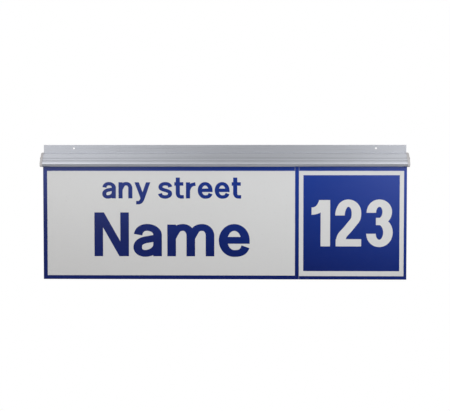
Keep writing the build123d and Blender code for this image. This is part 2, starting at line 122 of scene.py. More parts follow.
# Each glyph: its width, its strokes as knots (x, y, direction in degrees), and the heights at which its
# foot and its head are cut level, where they are
GLYPHS = {
    "a": (
        478.0,
        [
            [(76, 352, 80), (226, ARCH, 0), (392, 345, 270), (392, 0, 270)],
            [(392, 302, 190), (215, 272, 190), (70, 148, 270), (186, BOWL_FOOT, 0), (392, 200, 90)],
        ],
        (None, None),
    ),
    "n": (
        471.0,
        [
            [(HALF, 0, 90), (HALF, X_HEIGHT, 90)],
            [(76, 296, 62), (268, ARCH, 0), (401, 320, 270), (401, 0, 270)],
        ],
        (None, None),
    ),
    "m": (
        761.0,
        [
            [(HALF, 0, 90), (HALF, X_HEIGHT, 90)],
            [(76, 306, 62), (256, ARCH, 0), (380, 335, 270), (380, 0, 270)],
            [(386, 306, 62), (566, ARCH, 0), (691, 335, 270), (691, 0, 270)],
        ],
        (None, None),
    ),
    "r": (
        325.0,
        [
            [(HALF, 0, 90), (HALF, X_HEIGHT, 90)],
            [(70, 244, 76), (322, 464, 6)],
        ],
        (None, None),
    ),
    "e": (
        500.0,
        [
            [(64, E_BAR, 0), (470, E_BAR, 0)],
            [
                (430, E_BAR - THIN / 2, 90),
                (430, E_BAR, 90),
                (250, ARCH, 180),
                (70, 259, 270),
                (252, BOWL_FOOT, 0),
                (432, 158, 70),
            ],
        ],
        (None, None),
    ),
    "s": (
        470.0,
        [
            [
                (404, 366, 105),
                (234, ARCH, 180),
                (76, 367, 270),
                (238, 262, 345),
                (398, 155, 270),
                (234, BOWL_FOOT, 180),
                (60, 158, 105),
            ],
        ],
        (None, None),
    ),
    "t": (
        320.0,
        [
            [(118, 672, 270), (118, 168, 270), (226, 52, 0), (320, 52, 0)],
            [(0, 466, 0), (306, 466, 0)],
        ],
        (None, None),
    ),
    "y": (
        530.0,
        [
            [(48, 580, 291), (276, 0, 291)],
            [(482, 580, 249), (292, 60, 249), (120, -136, 180), (52, -136, 180)],
        ],
        (None, X_HEIGHT),
    ),
    "N": (
        560.0,
        [
            [(HALF, 0, 90), (HALF, CAP_HEIGHT, 90)],
            [(490, 0, 90), (490, CAP_HEIGHT, 90)],
            [(62, CAP_HEIGHT + 30, 299.3), (498, -30, 299.3)],
        ],
        (0.0, CAP_HEIGHT),
    ),
    "1": (
        278.0,
        [
            [(204, 0, 90), (204, CAP_HEIGHT, 90)],
            [(0, 545, 0), (190, 745, 80)],
        ],
        (0.0, CAP_HEIGHT),
    ),
    "2": (
        388.0,
        [
            [(70, 478, 90), (190, TOP_CURVE, 0), (312, 520, 270), (218, 308, 234), (78, 50, 266)],
            [(8, THIN / 2, 0), (384, THIN / 2, 0)],
        ],
        (0.0, None),
    ),
    "3": (
        388.0,
        [
            [(72, 520, 90), (190, TOP_CURVE, 0), (306, 536, 270), (188, 386, 180), (140, 386, 180)],
            [(140, 386, 0), (188, 386, 0), (318, 216, 270), (190, BOWL_FOOT, 180), (68, 196, 90)],
        ],
        (None, None),
    ),
}


class Graph:
    """A tree of shading nodes being built."""

    def __init__(self, tree):
        self.tree = tree

    def node(self, kind, **values):
        """New node with the given socket values."""
        made = self.tree.nodes.new(kind)
        for socket, value in values.items():
            made.inputs[socket.replace("_", " ")].default_value = value
        return made

    def join(self, output, target, socket):
        """Link an output to a socket of a node."""
        self.tree.links.new(output, target.inputs[socket])

    def ramp(self, factor, low, high, start=0.3, end=0.7, soft=False):
        """Value from low to high while the factor goes from start to end."""
        made = self.node("ShaderNodeMapRange")
        made.interpolation_type = "SMOOTHSTEP" if soft else "LINEAR"
        for socket, value in (("From Min", start), ("From Max", end), ("To Min", low), ("To Max", high)):
            made.inputs[socket].default_value = value
        self.join(factor, made, "Value")
        return made.outputs["Result"]

    def combine(self, operation, first, second):
        """Two outputs put together by arithmetic."""
        made = self.node("ShaderNodeMath")
        made.operation = operation
        self.join(first, made, 0)
        self.join(second, made, 1)
        return made.outputs["Value"]


class Finish(Graph):
    """A material: its shader, and the nodes that vary it over the surface."""

    def __init__(self, name, **sockets):
        self.material = bpy.data.materials.new(name)
        self.material.use_nodes = True
        super().__init__(self.material.node_tree)
        self.shader = self.tree.nodes["Principled BSDF"]
        for socket, value in sockets.items():
            self.shader.inputs[socket.replace("_", " ")].default_value = value

    def place(self, scale=(1.0, 1.0, 1.0)):
        """Coordinates on the piece in metres, times scale."""
        coordinates = self.node("ShaderNodeTexCoord")
        mapping = self.node("ShaderNodeMapping", Scale=scale)
        self.join(coordinates.outputs["Object"], mapping, "Vector")
        return mapping.outputs["Vector"]

    def height(self, aslant):
        """Height on the sign in metres, plus aslant times the distance to the right."""
        axes = self.node("ShaderNodeSeparateXYZ")
        self.join(self.place((aslant, 1.0, 1.0)), axes, "Vector")
        return self.combine("ADD", axes.outputs["X"], axes.outputs["Z"])

    def bands(self, spans):
        """1 in each span of heights (low, high) in metres and 0 elsewhere, with soft edges."""
        height = self.height(0.0)
        total = None
        for low, high in spans:
            over = self.ramp(height, 0, 1, low - BAND_EDGE, low + BAND_EDGE)
            under = self.ramp(height, 1, 0, high - BAND_EDGE, high + BAND_EDGE)
            inside = self.combine("MULTIPLY", over, under)
            total = inside if total is None else self.combine("ADD", total, inside)
        return total

    def noise(self, per_metre, detail=3.0, roughness=0.55, stretch=(1.0, 1.0, 1.0)):
        """Noise with so many features in a metre, made longer where stretch is below 1."""
        made = self.node("ShaderNodeTexNoise", Scale=per_metre, Detail=detail, Roughness=roughness)
        self.join(self.place(stretch), made, "Vector")
        return made.outputs["Fac"]

    def cells(self, per_metre, stretch=(1.0, 1.0, 1.0)):
        """Distance to the nearest of so many points in a metre."""
        made = self.node("ShaderNodeTexVoronoi", Scale=per_metre)
        self.join(self.place(stretch), made, "Vector")
        return made.outputs["Distance"]

    def mix(self, factor, first, second):
        """Colour between two, each a colour or an output."""
        made = self.node("ShaderNodeMix")
        made.data_type = "RGBA"
        self.join(factor, made, 0)
        for index, value in ((6, first), (7, second)):
            if isinstance(value, bpy.types.NodeSocket):
                self.join(value, made, index)
            else:
                made.inputs[index].default_value = value
        return made.outputs[2]

    def relief(self, *layers):
        """Bump from layers of (height output, depth in metres, strength), the finest last."""
        normal = None
        for height, depth, strength in layers:
            made = self.node("ShaderNodeBump", Strength=strength, Distance=depth)
            self.join(height, made, "Height")
            if normal is not None:
                self.join(normal, made, "Normal")
            normal = made.outputs["Normal"]
        self.join(normal, self.shader, "Normal")

    def colour(self, output):
        """Feed the shader's colour."""
        self.join(output, self.shader, "Base Color")

    def roughness(self, output):
        """Feed the shader's roughness."""
        self.join(output, self.shader, "Roughness")


def shade(colour, factor):
    """Colour times factor, opaque."""
    return (*(min(channel * factor, 1.0) for channel in colour[:3]), 1.0)


def anodised_metal(colour):
    """Extruded and anodised aluminium: satin, with fine die lines along X, soft clouds and rub marks. The
    floors of its long grooves are darkened as painted shade, and the lands under them are lightened as
    painted highlight."""
    finish = Finish("anodised_metal", Metallic=0.75, Anisotropic=0.4, Anisotropic_Rotation=0.25)
    finish.join(finish.node("ShaderNodeCombineXYZ", X=1.0).outputs["Vector"], finish.shader, "Tangent")
    die_lines = finish.noise(900, detail=4, stretch=(0.002, 1, 1))
    clouds = finish.noise(9, detail=4, stretch=(0.5, 1, 1))
    rubs = finish.noise(70, detail=6, roughness=0.7, stretch=(0.3, 1, 1))
    grain = finish.noise(5200, detail=2)
    streaks = finish.mix(finish.ramp(die_lines, 0, 1, 0.32, 0.68), shade(colour, 0.93), shade(colour, 1.06))
    clouded = finish.mix(finish.ramp(clouds, 0, 0.5), streaks, shade(colour, 0.92))
    rubbed = finish.mix(finish.ramp(rubs, 0, 0.35, 0.6, 0.75), clouded, shade(colour, 1.1))
    # Painted shade: the groove floors are darker in colour
    groove_shaded = finish.mix(finish.bands(GROOVE_SHADE_BANDS), rubbed, shade(colour, 0.84))
    # Painted highlight: the lands under the grooves are lighter in colour
    finish.colour(finish.mix(finish.bands(LAND_HIGHLIGHT_BANDS), groove_shaded, shade(colour, 1.05)))
    finish.roughness(finish.ramp(die_lines, 0.26, 0.36))
    finish.relief((die_lines, 0.03 * MM, 0.35), (grain, 0.01 * MM, 0.3))
    return finish.material


def moulded_plastic(name, colour, roughness, grain_per_metre=1400, depth=0.05 * MM):
    """Moulded plastic: leather-fine grain, a little dust and shine that varies."""
    finish = Finish(name)
    grain = finish.cells(grain_per_metre)
    dust = finish.noise(60, detail=6, roughness=0.65)
    flow = finish.noise(14, detail=2)
    body = finish.mix(finish.ramp(flow, 0, 1), shade(colour, 0.96), shade(colour, 1.04))
    finish.colour(finish.mix(finish.ramp(dust, 0, 0.35, 0.5, 0.8), body, shade(colour, 0.8)))
    finish.roughness(finish.ramp(dust, roughness - 0.05, roughness + 0.08))
    finish.relief((grain, depth, 0.3), (finish.noise(3600), depth / 2, 0.2))
    return finish.material


def rubber(name, colour):
    """Cut or moulded rubber: matt, with fine pits and pale bloom."""
    finish = Finish(name)
    pits = finish.noise(2600, detail=5, roughness=0.7)
    bloom = finish.noise(110, detail=5)
    finish.colour(finish.mix(finish.ramp(bloom, 0, 0.6, 0.45, 0.75), shade(colour, 1), shade(colour, 1.9)))
    finish.roughness(finish.ramp(pits, 0.68, 0.86))
    finish.relief((pits, 0.08 * MM, 0.5))
    return finish.material


def turned_metal(name, colour, roughness):
    """Plated or solid screw metal: tool marks, and patches where it has darkened."""
    finish = Finish(name, Metallic=1.0)
    marks = finish.noise(4200, detail=3, stretch=(0.25, 1, 1))
    plating = finish.noise(420, detail=4)
    finish.colour(finish.mix(finish.ramp(plating, 0, 1, 0.35, 0.7), shade(colour, 0.75), shade(colour, 1.1)))
    finish.roughness(finish.ramp(marks, roughness - 0.07, roughness + 0.1))
    finish.relief((marks, 0.02 * MM, 0.4))
    return finish.material


def plate_metal(colour):
    """Rolled aluminium sheet: mill lines along X and handling marks on the bare back."""
    finish = Finish("plate_metal", Metallic=0.9)
    rolled = finish.noise(1500, detail=4, stretch=(0.004, 1, 1))
    marks = finish.noise(26, detail=7, roughness=0.7)
    oxide = finish.mix(finish.ramp(marks, 0, 0.4, 0.42, 0.78), shade(colour, 1), shade(colour, 0.88))
    finish.colour(finish.mix(finish.ramp(rolled, 0, 0.7), oxide, shade(colour, 1.12)))
    finish.roughness(finish.ramp(marks, 0.42, 0.5))
    finish.relief((rolled, 0.02 * MM, 0.4))
    return finish.material


def sign_film(name, upper, lower, span, roughness, dusty):
    """Sign film: its lower colour turns to its upper one over a span of heights, lower down towards the
    right, as painted light: lighter high up and to the right. It has squeegee waves, orange peel and
    settled dust."""
    finish = Finish(name)
    # Painted light: the colour goes lighter up the sign and towards the right
    painted_light_slope = finish.ramp(finish.height(0.25), 0, 1, *span)
    patches = finish.noise(3.2, detail=3, stretch=(1, 1, 1.4))
    dust = finish.noise(150, detail=6, roughness=0.6)
    waves = finish.noise(15, detail=2, stretch=(0.35, 1, 1))
    peel = finish.noise(1100, detail=2)
    body = finish.mix(painted_light_slope, lower, upper)
    body = finish.mix(finish.ramp(patches, 0, 0.1, 0.35, 0.7), body, lower)
    finish.colour(finish.mix(finish.ramp(dust, 0, dusty, 0.55, 0.85), body, FILM_DUST))
    finish.roughness(finish.ramp(dust, roughness - 0.03, roughness + 0.05))
    finish.relief((waves, 0.12 * MM, 0.1), (peel, 0.004 * MM, 0.15))
    return finish.material


def board_mask(colour):
    """White solder mask over copper: pale tracks show faintly under it."""
    finish = Finish("board_mask", Coat_Weight=0.3)
    tracks = finish.cells(120, stretch=(0.12, 1, 1))
    weave = finish.noise(1900, detail=2)
    finish.colour(finish.mix(finish.ramp(tracks, 0, 1, 0.25, 0.3), shade(colour, 0.86), shade(colour, 1)))
    finish.roughness(finish.ramp(weave, 0.34, 0.46))
    finish.relief((tracks, 0.03 * MM, 0.4), (weave, 0.015 * MM, 0.2))
    return finish.material


def phosphor(colour):
    """Yellow lamp phosphor set in clear resin."""
    finish = Finish("lamp_phosphor", Coat_Weight=0.5)
    grit = finish.noise(9000, detail=4)
    finish.colour(finish.mix(finish.ramp(grit, 0, 1), shade(colour, 0.85), shade(colour, 1.1)))
    finish.roughness(finish.ramp(grit, 0.4, 0.6))
    finish.relief((grit, 0.02 * MM, 0.3))
    return finish.material


def clear_cover(colour):
    """Clear extruded cover: nearly colourless and a little hazy, with lengthwise flow lines."""
    finish = Finish("clear_cover", IOR=1.49, Transmission_Weight=0.92)
    flow = finish.noise(1100, detail=3, stretch=(0.003, 1, 1))
    haze = finish.noise(24, detail=4)
    finish.colour(finish.mix(finish.ramp(haze, 0, 1), shade(colour, 0.94), shade(colour, 1)))
    finish.roughness(finish.ramp(haze, 0.1, 0.22))
    finish.relief((flow, 0.03 * MM, 0.3))
    return finish.material


def dress(material, *nodes):
    """Give CAD nodes a finish through their material slots."""
    for name in nodes:
        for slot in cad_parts[name].material_slots:
            slot.material = material


def worn_by(name):
    """Material that a dressed CAD node wears."""
    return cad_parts[name].material_slots[0].material


def settle(piece, material, slot, *replaced):
    """Finish a new piece and let it ride on the sign."""
    piece.data.materials.clear()
    piece.data.materials.append(material)
    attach(piece, BODY)
    if replaced:
        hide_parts(*replaced)


def piece_of(bm, name, smooth_under=None):
    """Object from a finished bmesh, shaded smooth where its faces meet under an angle in degrees."""
    bmesh.ops.recalc_face_normals(bm, faces=bm.faces)
    if smooth_under is not None:
        limit = math.radians(smooth_under)
        for face in bm.faces:
            face.smooth = True
        for edge in bm.edges:
            edge.smooth = len(edge.link_faces) == 2 and edge.calc_face_angle(0) < limit
    mesh = bpy.data.meshes.new(name)
    bm.to_mesh(mesh)
    bm.free()
    made = bpy.data.objects.new(name, mesh)
    bpy.context.scene.collection.objects.link(made)
    return made


def heading(degrees):
    """Unit vector in a direction."""
    return Vector((math.cos(math.radians(degrees)), math.sin(math.radians(degrees))))


def knot_path(knots):
    """Points along the smooth line through knots (x, y, direction in degrees)."""
    points = []
    for (x0, y0, a0), (x1, y1, a1) in zip(knots, knots[1:]):
        start, end = Vector((x0, y0)), Vector((x1, y1))
        span = end - start
        leave, arrive = heading(a0), heading(a1)
        least = span.length / 3
        first = start + leave * max(span.dot(leave), least) * CURVE_REACH
        last = end - arrive * max(span.dot(arrive), least) * CURVE_REACH
        straight = a0 == a1 and leave.angle(span) < STRAIGHT
        curve = interpolate_bezier(start, first, last, end, 2 if straight else CURVE_STEPS)
        points += [point.to_2d() for point in curve[(1 if points else 0):]]
    return points


def stroke_edges(knots):
    """Left and right edges of a pen stroke, thick where it runs upright and thin where it runs level."""
    points = knot_path(knots)
    ends = {0: heading(knots[0][2]), len(points) - 1: heading(knots[-1][2])}
    left, right = [], []
    for i, point in enumerate(points):
        along = ends[i] if i in ends else (points[i + 1] - points[i - 1]).normalized()
        half = (THIN + (THICK - THIN) * along.y**2) / 2
        across = Vector((-along.y, along.x)) * half
        left.append(point + across)
        right.append(point - across)
    return left, right


def stroke_triangles(knots):
    """Triangles that fill a pen stroke, all turning the same way."""
    left, right = stroke_edges(knots)
    for i in range(len(left) - 1):
        for corners in ((left[i], right[i], right[i + 1]), (left[i], right[i + 1], left[i + 1])):
            turn = (corners[1] - corners[0]).cross(corners[2] - corners[0])
            if abs(turn) > 2 * LEAST_AREA:
                yield corners if turn > 0 else corners[::-1]


def glyph_faces(character):
    """One glyph as flat points and faces: its strokes merged, and cut level at its foot and head."""
    strokes, (low, high) = GLYPHS[character][1:]
    points, triangles, cuts = [], [], []
    for knots in strokes:
        for corners in stroke_triangles(knots):
            triangles.append([len(points), len(points) + 1, len(points) + 2])
            points += corners
    for height in (low, high):
        if height is not None:
            cuts.append((len(points), len(points) + 1))
            points += [Vector((-CAP_HEIGHT, height)), Vector((2 * CAP_HEIGHT, height))]
    flat, _, faces, _, _, _ = delaunay_2d_cdt(points, cuts, triangles, 0, WELD)
    kept = []
    for face in faces:
        middle = sum((flat[i] for i in face), Vector((0, 0))) / len(face)
        level = (low is None or middle.y > low) and (high is None or middle.y < high)
        if level and any(intersect_point_tri_2d(middle, *(points[i] for i in inked)) for inked in triangles):
            kept.append(face)
    return flat, kept


def line_layout(words):
    """Start of each glyph of a line and the line's whole width, in em units."""
    starts, x = [], 0.0
    for character in words:
        if character == " ":
            x += WORD_GAP - LETTER_GAP
        else:
            starts.append((character, x))
            x += GLYPHS[character][0] + LETTER_GAP
    return starts, x - LETTER_GAP


def film_lettering(name, words, corner, size, reference, front):
    """Words cut from film: corner is the line's left end on its baseline, size its width and the height
    on the sign of reference em units, and front the Y that the film lies on."""
    starts, natural = line_layout(words)
    scale_x, scale_z = size[0] / natural, size[1] / reference
    bm = bmesh.new()
    for character, start in starts:
        flat, faces = glyph_faces(character)
        ring = {}
        for i in sorted({i for face in faces for i in face}):
            place = (corner[0] + (start + flat[i].x) * scale_x, front, corner[1] + flat[i].y * scale_z)
            ring[i] = bm.verts.new(place)
        for face in faces:
            bm.faces.new([ring[i] for i in face])
    bmesh.ops.dissolve_limit(bm, angle_limit=FLAT, verts=bm.verts, edges=bm.edges)
    grown = bmesh.ops.extrude_face_region(bm, geom=list(bm.faces))
    raised = [item for item in grown["geom"] if isinstance(item, bmesh.types.BMVert)]
    bmesh.ops.translate(bm, vec=(0, -FILM, 0), verts=raised)
    return piece_of(bm, name)


def rings_along(bm, rings, centre, axis):
    """Closed skin over rings of points (u, v, distance along axis), each ring with the same count."""
    turn = Vector((0, 0, 1)).rotation_difference(axis).to_matrix()
    rows = [[bm.verts.new(centre + turn @ Vector(point)) for point in ring] for ring in rings]
    for low, high in zip(rows, rows[1:]):
        for i in range(len(low)):
            after = (i + 1) % len(low)
            bm.faces.new([low[i], low[after], high[after], high[i]])
    bm.faces.new(rows[0])
    bm.faces.new(rows[-1])


def circle(radius, along, count=48):
    """Ring of points round the axis at a distance along it."""
    return [
        (radius * math.cos(math.tau * i / count), radius * math.sin(math.tau * i / count), along)
        for i in range(count)
    ]


def lathe(bm, profile, centre, axis):
    """Turned shape from a profile of (radius, distance along axis)."""
    rings_along(bm, [circle(radius, along) for radius, along in profile], centre, axis)


def thread(bm, centre, axis, sizes, start, end):
    """Screw thread as a closed helical ridge between two distances along the axis, which fades out over
    half a turn at both ends; sizes are the root's radius, the crest's and the pitch."""
    root, crest, pitch = sizes
    turn = Vector((0, 0, 1)).rotation_difference(axis).to_matrix()
    steps = int((end - start) / pitch * THREAD_STEPS)
    half_turn, foot = THREAD_STEPS / 2, root * THREAD_SINK
    rows = []
    for i in range(steps + 1):
        angle = math.tau * i / THREAD_STEPS
        top = root + (crest - root) * min(i, steps - i, half_turn) / half_turn
        along = start + pitch * i / THREAD_STEPS
        row = []
        for radius, offset in ((foot, -FOOT_HALF), (top, -CREST_HALF), (top, CREST_HALF), (foot, FOOT_HALF)):
            local = Vector((radius * math.cos(angle), radius * math.sin(angle), along + offset * pitch))
            row.append(bm.verts.new(centre + turn @ local))
        rows.append(row)
    for low, high in zip(rows, rows[1:]):
        for j in range(4):
            bm.faces.new([low[j], low[(j + 1) % 4], high[(j + 1) % 4], high[j]])
    bm.faces.new(rows[0])
    bm.faces.new(rows[-1])


def cross(reach, half):
    """Corners of a plus-shaped outline."""
    quarter = [(reach, -half), (reach, half), (half, half)]
    corners = []
    for _ in range(4):
        corners += quarter
        quarter = [(-v, u) for u, v in quarter]
    return corners


def hexagon(radius):
    """Corners of a six-sided outline."""
    return [point[:2] for point in circle(radius, 0, 6)]


def socket(bm, outline, centre, axis, depth, taper):
    """Cutter for a driver's recess: an outline sunk along the axis from just over the centre, where taper
    is the size of its floor as a share of its mouth."""
    over = depth / 4
    rings = [
        [(u * taper, v * taper, -depth) for u, v in outline],
        [(u, v, over) for u, v in outline],
    ]
    rings_along(bm, rings, centre, axis)


def carved(body, cutter):
    """Bmesh of a body with a cutter's shape taken out of it; both are bmeshes and are used up."""
    piece, tool = piece_of(body, "carved_body"), piece_of(cutter, "carving_tool")
    cut = piece.modifiers.new("cut", "BOOLEAN")
    cut.operation = "DIFFERENCE"
    cut.solver = "EXACT"
    cut.object = tool
    graph = bpy.context.evaluated_depsgraph_get()
    result = bmesh.new()
    result.from_mesh(piece.evaluated_get(graph).to_mesh())
    for made in (piece, tool):
        mesh = made.data
        bpy.data.objects.remove(made)
        bpy.data.meshes.remove(mesh)
    return result


def block(bm, low, high, edge):
    """Block between two corners with rounded edges."""
    made = bmesh.ops.create_cube(bm, size=1.0)["verts"]
    bmesh.ops.scale(bm, vec=high - low, verts=made)
    bmesh.ops.translate(bm, vec=(low + high) / 2, verts=made)
    edges = list({line for vert in made for line in vert.link_edges})
    bmesh.ops.bevel(bm, geom=edges, offset=edge, segments=2, profile=0.5, affect="EDGES")


def node_box(node):
    """Lowest and highest corner of a CAD node and its middle."""
    low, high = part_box(node)
    return low, high, (low + high) / 2


def colour_setting(name, description, default):
    """Colour that a user may change."""
    return FloatVectorProperty(
        name=name, description=description, default=default, size=4, min=0.0, max=1.0, subtype="COLOR"
    )


def length_setting(name, description, default):
    """Length in metres that a user may change."""
    return FloatProperty(name=name, description=description, default=default, precision=4, unit="LENGTH")


def light_setting(name, description, default):
    """Brightness that a user may change, where 1 is white."""
    return FloatProperty(name=name, description=description, default=default, min=0.0, subtype="FACTOR")


def power_setting(name, description, default):
    """Lamp power in watts that a user may change."""
    return FloatProperty(name=name, description=description, default=default, min=0.0, unit="POWER")


class SignFinishes(bpy.types.PropertyGroup):
    """Colours of the sign's finishes, as linear light."""

    metal: colour_setting("Anodised metal", "Colour of the extruded hood", (0.47, 0.484, 0.525, 1.0))
    cap: colour_setting("End caps", "Colour of the end caps", (0.5, 0.485, 0.49, 1.0))
    # The films' upper and lower colours are the ends of a painted light gradient, lighter high up and to the
    # right
    white: colour_setting("White film", "White near the sign's upper right", (0.67, 0.675, 0.675, 1.0))
    white_low: colour_setting("White film, low", "White near its lower left", (0.558, 0.555, 0.552, 1.0))
    blue: colour_setting("Blue film", "Blue near the sign's upper right", (0.007, 0.042, 0.312, 1.0))
    blue_low: colour_setting("Blue film, low", "Blue near its lower left", (0.0034, 0.0115, 0.107, 1.0))


class SignLettering(bpy.types.PropertyGroup):
    """Place and size of the film lettering. Heights are measured from the wall screws."""

    street_left: length_setting("Upper line start", "Left end of the upper line", -0.337)
    street_width: length_setting("Upper line width", "Width of the upper line", 0.383)
    street_base: length_setting("Upper line height", "Baseline of the upper line", -0.1379)
    street_tall: length_setting("Upper line x-height", "Height of the upper line's letter n", 0.0445)
    name_left: length_setting("Name start", "Left end of the large name", -0.359)
    name_width: length_setting("Name width", "Width of the large name", 0.4285)
    name_base: length_setting("Name height", "Baseline of the large name", -0.2976)
    name_tall: length_setting("Name capital height", "Height of the name's capital", 0.1211)
    number_left: length_setting("Number start", "Left end of the number", 0.2393)
    number_width: length_setting("Number width", "Width of the number", 0.2225)
    number_base: length_setting("Number height", "Baseline of the number", -0.2695)
    number_tall: length_setting("Figure height", "Height of the number's figures", 0.1275)


class SignStage(bpy.types.PropertyGroup):
    """Floor, lamps and the light of the room."""

    floor_height: length_setting("Floor", "Height of the floor", -1.1)
    lamp_height: length_setting("Lamp height", "Height of both soft lamps", 0.2)
    right_power: power_setting("Right lamp", "Power of the soft lamp at the right", 12.6)
    left_power: power_setting("Left lamp", "Power of the soft lamp at the left", 10.9)
    room: light_setting("Room light", "Light from all round", 0.3)
    low_room: light_setting("Low light", "Light from below", 0.14)
    mirror_floor: light_setting("Mirrored floor", "Floor as gloss shows it", 0.55)
    mirror_dark: light_setting("Mirrored front", "Dark front of the room as gloss shows it", 0.02)
    mirror_middle: light_setting("Mirrored middle", "Room between the lamps as gloss shows it", 0.48)
    mirror_left: light_setting("Mirrored left lamp", "Left lamp's face as gloss shows it", 2.3)
    mirror_right: light_setting("Mirrored right lamp", "Right lamp's face as gloss shows it", 3.0)
    mirror_ceiling: light_setting("Mirrored ceiling", "Share of the lamps' light high up", 0.56)


class StreetSignStep:
    """What the sign's steps have in common."""

    bl_options = {"REGISTER", "UNDO"}


class SIGN_OT_hood(StreetSignStep, bpy.types.Operator):
    """Finish the extruded hood"""

    bl_idname = "streetsign.hood"
    bl_label = "Hood"

    def execute(self, context):
        dress(anodised_metal(context.scene.sign_finishes.metal), "hood_profile")
        return {"FINISHED"}


class SIGN_OT_ends(StreetSignStep, bpy.types.Operator):
    """Finish the end caps, the gaskets and the rubber pads"""

    bl_idname = "streetsign.ends"
    bl_label = "End Caps"

    def execute(self, context):
        cap = moulded_plastic("cap_plastic", context.scene.sign_finishes.cap, 0.42)
        dress(cap, "end_cap_left", "end_cap_right")
        dress(rubber("gasket_rubber", BLACK_RUBBER), "gasket_left", "gasket_right", "wall_pads")
        return {"FINISHED"}


class SIGN_OT_screws(StreetSignStep, bpy.types.Operator):
    """Turn the cap screws and the plates' set screws with real recesses and threads"""

    bl_idname = "streetsign.screws"
    bl_label = "Screws"

    # Cap screws: domed head, cross recess, thread (root radius, crest radius, pitch) and the plain part
    # of the shank under the head
    head_radius = 3.3 * MM
    head_height = 2.0 * MM
    head_rim = 0.25
    dome_steps = 8
    cross_reach = 1.8 * MM
    cross_half = 0.34 * MM
    cross_depth = 1.3 * MM
    cross_taper = 0.45
    cap_thread = (1.15 * MM, 1.45 * MM, 1.0 * MM)
    plain_shank = 0.6 * MM
    shank_in_head = 0.2 * MM

    # Set screws: their places along the sign, thread, tip, hexagon socket and the plain part at each end
    set_places = (-400.0, 110.0, 265.0, 440.0)
    set_thread = (1.65 * MM, 1.97 * MM, 0.7 * MM)
    tip_share = 0.7
    hexagon_reach = 1.15 * MM
    hexagon_depth = 1.6 * MM
    plain_tip = 0.6 * MM
    plain_top = 0.45 * MM

    def execute(self, context):
        steel = turned_metal("screw_steel", ZINC, 0.36)
        for name, side in SIDES.items():
            node = f"cap_screws_{name}"
            settle(self.cap_screws(node, name, side), steel, "screw_steel", node)
        settle(self.plate_screws(), steel, "screw_steel", "plate_set_screws")
        return {"FINISHED"}

    def cap_screws(self, node, name, side):
        """Both screws of one cap: domed heads with a cross recess on threaded shanks."""
        low, high, middle = node_box(node)
        root = self.cap_thread[0]
        length = high.x - low.x - self.head_height
        seat = (high.x if side > 0 else low.x) - side * self.head_height
        axis = Vector((side, 0, 0))
        head = [(self.head_radius, 0)]
        for i in range(self.dome_steps):
            angle = math.pi / 2 * i / self.dome_steps
            rise = self.head_height * (self.head_rim + (1 - self.head_rim) * math.sin(angle))
            head.append((self.head_radius * math.cos(angle), rise))
        head.append((self.head_radius / 12, self.head_height))
        shank = [(root / 3, -length), (root, -length + root), (root, self.shank_in_head)]
        recess = cross(self.cross_reach, self.cross_half)
        heads, cutter = bmesh.new(), bmesh.new()
        centres = [Vector((seat, y, middle.z)) for y in (low.y + self.head_radius, high.y - self.head_radius)]
        for centre in centres:
            lathe(heads, head, centre, axis)
            crown = centre + axis * self.head_height
            socket(cutter, recess, crown, axis, self.cross_depth, self.cross_taper)
        bm = carved(heads, cutter)
        for centre in centres:
            lathe(bm, shank, centre, axis)
            thread(bm, centre, axis, self.cap_thread, -length + root, -self.plain_shank)
        return piece_of(bm, f"cap_screws_turned_{name}", TURNED_SMOOTH)

    def plate_screws(self):
        """Headless screws with a hexagon socket, through the front leg of the plates' slot."""
        low, high, middle = node_box("plate_set_screws")
        depth = high.y - low.y
        root, crest, _ = self.set_thread
        axis = Vector((0, -1, 0))
        profile = [(root * self.tip_share, -depth), (root, -depth + crest - root), (root, 0)]
        body, cutter = bmesh.new(), bmesh.new()
        centres = [Vector((x * MM, low.y, middle.z)) for x in self.set_places]
        for centre in centres:
            lathe(body, profile, centre, axis)
            socket(cutter, hexagon(self.hexagon_reach), centre, axis, self.hexagon_depth, 1.0)
        bm = carved(body, cutter)
        for centre in centres:
            thread(bm, centre, axis, self.set_thread, -depth + self.plain_tip, -self.plain_top)
        return piece_of(bm, "set_screws_turned", TURNED_SMOOTH)


class SIGN_OT_plates(StreetSignStep, bpy.types.Operator):
    """Finish the two plates and their white and blue films"""

    bl_idname = "streetsign.plates"
    bl_label = "Plates"

    # Heights on the sign over which each film changes colour, a painted light gradient
    white_span = (-0.45, 0.0)
    blue_span = (-0.3, 0.05)

    def execute(self, context):
        finishes = context.scene.sign_finishes
        dress(plate_metal(MILL_ALUMINIUM), "name_plate", "number_plate")
        upper, lower = tuple(finishes.white), tuple(finishes.white_low)
        white = sign_film("white_film", upper, lower, self.white_span, roughness=0.3, dusty=0.1)
        upper, lower = tuple(finishes.blue), tuple(finishes.blue_low)
        blue = sign_film("blue_film", upper, lower, self.blue_span, roughness=0.14, dusty=0.002)
        dress(white, "name_white_film", "number_white_film")
        dress(blue, "name_blue_border", "number_blue_border", "number_blue_field")
        return {"FINISHED"}


class SIGN_OT_lettering(StreetSignStep, bpy.types.Operator):
    """Cut the words and the number from film and lay them on the plates"""

    bl_idname = "streetsign.lettering"
    bl_label = "Lettering"

    def execute(self, context):
        line = context.scene.sign_lettering
        blue, white = worn_by("name_blue_border"), worn_by("name_white_film")
        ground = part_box("name_white_film")[0].y
        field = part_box("number_blue_field")[0].y

        corner, size = (line.street_left, line.street_base), (line.street_width, line.street_tall)
        street = film_lettering("lettering_street", "any street", corner, size, X_HEIGHT, ground)
        settle(street, blue, "blue_film")

        corner, size = (line.name_left, line.name_base), (line.name_width, line.name_tall)
        name = film_lettering("lettering_name", "Name", corner, size, CAP_HEIGHT, ground)
        settle(name, blue, "blue_film")

        corner, size = (line.number_left, line.number_base), (line.number_width, line.number_tall)
        number = film_lettering("lettering_number", "123", corner, size, CAP_HEIGHT, field)
        settle(number, white, "white_film")
        return {"FINISHED"}


